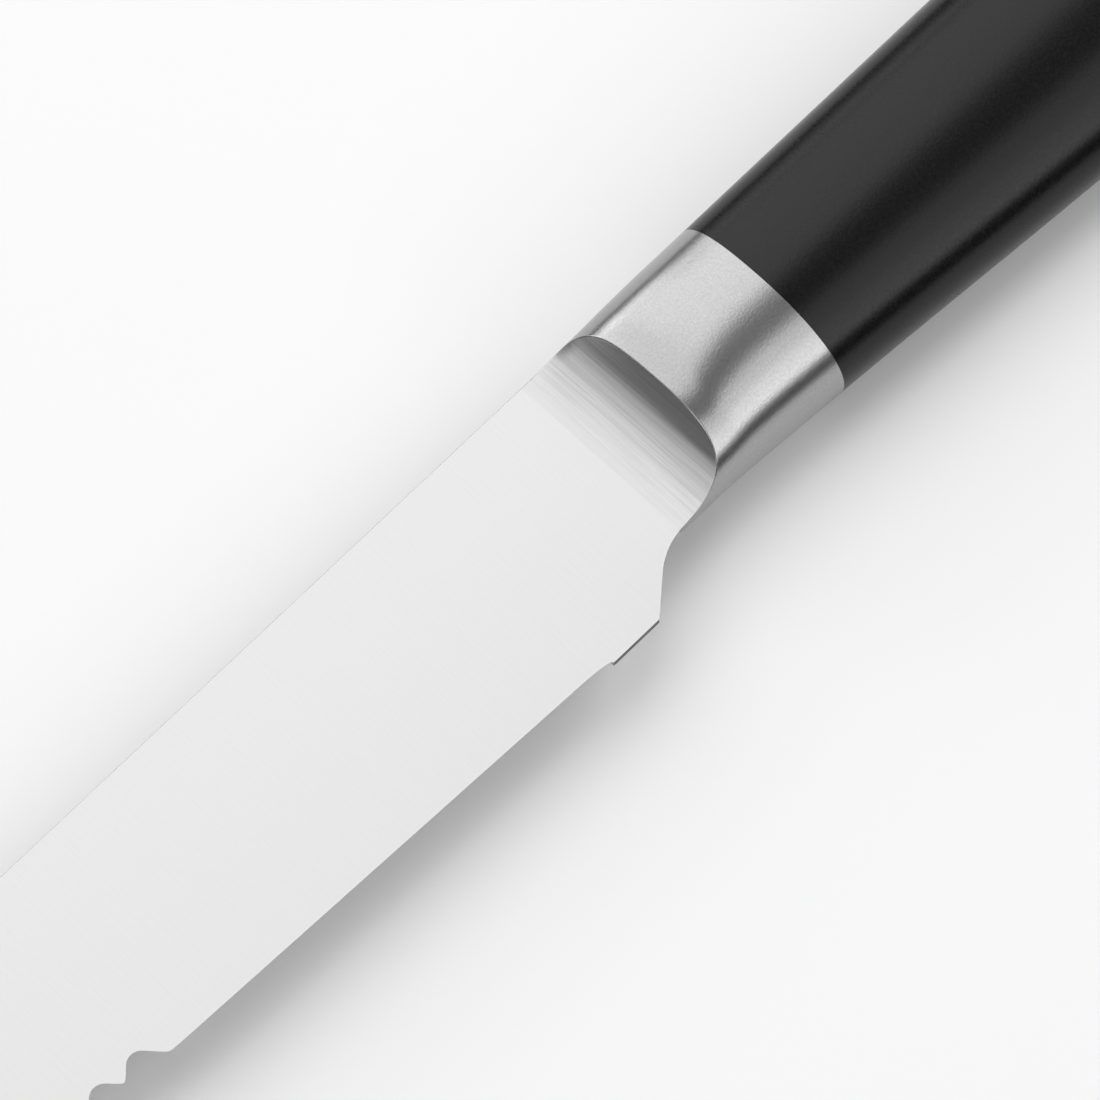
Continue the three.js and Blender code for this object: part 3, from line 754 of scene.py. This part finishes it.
def aim_camera():
    """Camera at the photograph's angle, looking at the place that is in the middle of the picture."""
    flat = math.cos(CAMERA_ELEVATION)
    back = -PICTURE_UP * flat + np.array([0, 0, math.sin(CAMERA_ELEVATION)])
    up = np.cross(back, PICTURE_RIGHT)
    camera = bpy.data.cameras.new("camera")
    camera.sensor_width = SENSOR
    camera.lens = SENSOR * CAMERA_DISTANCE * PIXELS_PER_MM / IMAGE_WIDTH
    camera.clip_start = CLIP_START
    camera.clip_end = CLIP_END
    seen = bpy.data.objects.new("camera", camera)
    place = np.eye(4)
    place[:3, :3] = np.stack([PICTURE_RIGHT, up, back], axis=1)
    place[:3, 3] = metres(CAMERA_AIM) + back * CAMERA_DISTANCE * MM
    seen.matrix_world = Matrix(place.tolist())
    bpy.context.scene.collection.objects.link(seen)
    bpy.context.scene.camera = seen


def soft_box(name, x, y, z, radiance, lean=0.0, turn=STUDIO_TURN):
    """Rectangular lamp over the spans x and y, in metres from the middle of the picture along and
    across the studio, which is turned from the knife, at the height z. lean turns it about its
    length, from facing down towards facing the edge's side; radiance is the brightness of its face."""
    lamp = bpy.data.lights.new(name, "AREA")
    lamp.shape = "RECTANGLE"
    lamp.size, lamp.size_y = x[1] - x[0], (y[1] - y[0]) / math.cos(lean)
    lamp.energy = radiance * math.pi * lamp.size * lamp.size_y
    box = bpy.data.objects.new(name, lamp)
    studio = Matrix.Translation((*metres(CAMERA_AIM)[:2], z)) @ Matrix.Rotation(turn, 4, "Z")
    place = Matrix.Translation((sum(x) / 2, sum(y) / 2, 0))
    box.matrix_world = studio @ place @ Matrix.Rotation(-lean, 4, "X")
    box.visible_camera = False
    bpy.context.scene.collection.objects.link(box)


def light_studio():
    """Soft boxes overhead: rows on the spine's side over butt, middle and tip, rows on the edge's side,
    and between them a dim one that draws the dark line along bolster and handle. Then leaned ones far
    behind the spine, bright ones beyond the butt and the tip, and a dim room."""
    overhead = (
        ("butt", (0.25, 1.3), (-0.01, 0.6), 1.85),
        ("butt_low", (0.4, 1.2), (0.6, 1.2), 1.9),
        ("butt_far", (0.8, 1.9), (1.2, 2.3), 1.9),
        ("middle", (-0.3, 0.25), (-0.01, 0.6), 1.55),
        ("middle_low", (-0.3, 0.4), (0.6, 1.2), 1.6),
        ("middle_far", (0.0, 0.8), (1.2, 2.3), 1.7),
        ("tip", (-1.0, -0.3), (0.3, 1.0), 1.0),
        ("tip_low", (-2.2, -1.0), (0.7, 1.8), 0.95),
        ("edge", (-0.8, 0.5), (-0.9, -0.445), 1.35),
        ("edge_low", (-0.8, 0.4), (-1.5, -0.9), 1.9),
        ("edge_far", (-0.9, 0.3), (-2.4, -1.5), 2.4),
        ("gap", (-1.0, 1.0), (-0.445, -0.01), 0.17),
    )
    for name, x, y, radiance in overhead:
        soft_box("soft_box_" + name, x, y, CEILING, radiance)
    for name, x, radiance in (("spine", (1.0, 2.2), 1.5), ("spine_tip", (0.0, 1.0), 2.6)):
        soft_box("soft_box_" + name, x, SPINE_LAMP_ROW, SPINE_LAMP_HEIGHT, radiance, SPINE_LAMP_LEAN)
    soft_box("soft_box_end", (0.85, 2.6), (-0.2, 0.2), END_LAMP_HEIGHT, 7.0, turn=0.0)
    soft_box("soft_box_nose", (-2.2, -0.7), (-0.5, -0.1), END_LAMP_HEIGHT, 3.0, turn=0.0)
    world = bpy.data.worlds.new("studio")
    world.use_nodes = True
    world.node_tree.nodes.clear()
    room = add(world.node_tree, "ShaderNodeBackground", {"Color": linear("#3f3f3f"), "Strength": 1.0})
    add(world.node_tree, "ShaderNodeOutputWorld", {"Surface": room.outputs[0]})
    bpy.context.scene.world = world


def lay_floor(paper):
    """Square sheet of paper under the knife."""
    corners = np.array([[-1, -1], [1, -1], [1, 1], [-1, 1]]) * FLOOR_REACH
    mesh = bpy.data.meshes.new("floor")
    mesh.from_pydata(np.column_stack([corners, np.zeros(4)]).tolist(), [], [[0, 1, 2, 3]])
    mesh.materials.append(paper)
    floor = bpy.data.objects.new("floor", mesh)
    bpy.context.scene.collection.objects.link(floor)


aim_camera()
light_studio()
lay_floor(floor_paper("white_paper", "#efefef", glow=0.045))

blade_steel = brushed_steel(
    "belt_ground_stainless_face",
    "#bebebe",
    roughness=0.3,
    spacing=0.12,
    length=7.0,
    depth=0.0001,
    swing=0.02,
    comb=0.6,
)
cheek_steel = brushed_steel(
    "belt_ground_stainless_cheek",
    "#bebebe",
    roughness=0.34,
    spacing=0.16,
    length=30.0,
    depth=0.008,
    swing=0.1,
    comb=0.7,
    set_in=along_knife(BELT_SETS_IN),
    # painted shade: the cheek's colour falls to a share of itself towards the ridge
    shade_span=(*along_knife(PAINTED_SHADE_SPAN), PAINTED_SHADE_SHARE),
)
# painted shade: the heel's bottom wall is dark grey, standing in for the shadowed floor it reflects
heel_wall_shaded_steel = satin_steel(
    "stainless_heel_wall_painted_shade", "#666666", roughness=0.45, grain=0.2, depth=0.004, swing=0.05
)
collar_steel = satin_steel(
    "wheel_finished_stainless", "#a3a3a3", roughness=0.24, grain=0.22, depth=0.009, swing=0.07
)
tang_steel = satin_steel(
    "mill_rolled_stainless", "#909090", roughness=0.5, grain=0.4, depth=0.002, swing=0.04
)
grip_plastic = moulded_plastic(
    "satin_moulded_black", "#050505", roughness=0.25, grain=0.35, depth=0.008, ior=1.38
)
bed_resin = moulded_plastic("cast_epoxy", "#b39a6c", roughness=0.4, grain=1.5, depth=0.004, ior=1.5)

blade = build_blade(blade_steel, heel_wall_shaded_steel)
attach(blade, "root")
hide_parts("blade")

bolster = build_bolster(cheek_steel, collar_steel)
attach(bolster, "root")
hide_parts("bolster")

handle = build_handle(grip_plastic)
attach(handle, "root")
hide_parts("handle")

for node, material in (("tang", tang_steel), ("tang_bed", bed_resin)):
    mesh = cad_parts[node].data
    mesh.materials.clear()
    mesh.materials.append(material)

bpy.context.scene.view_settings.view_transform = "Standard"
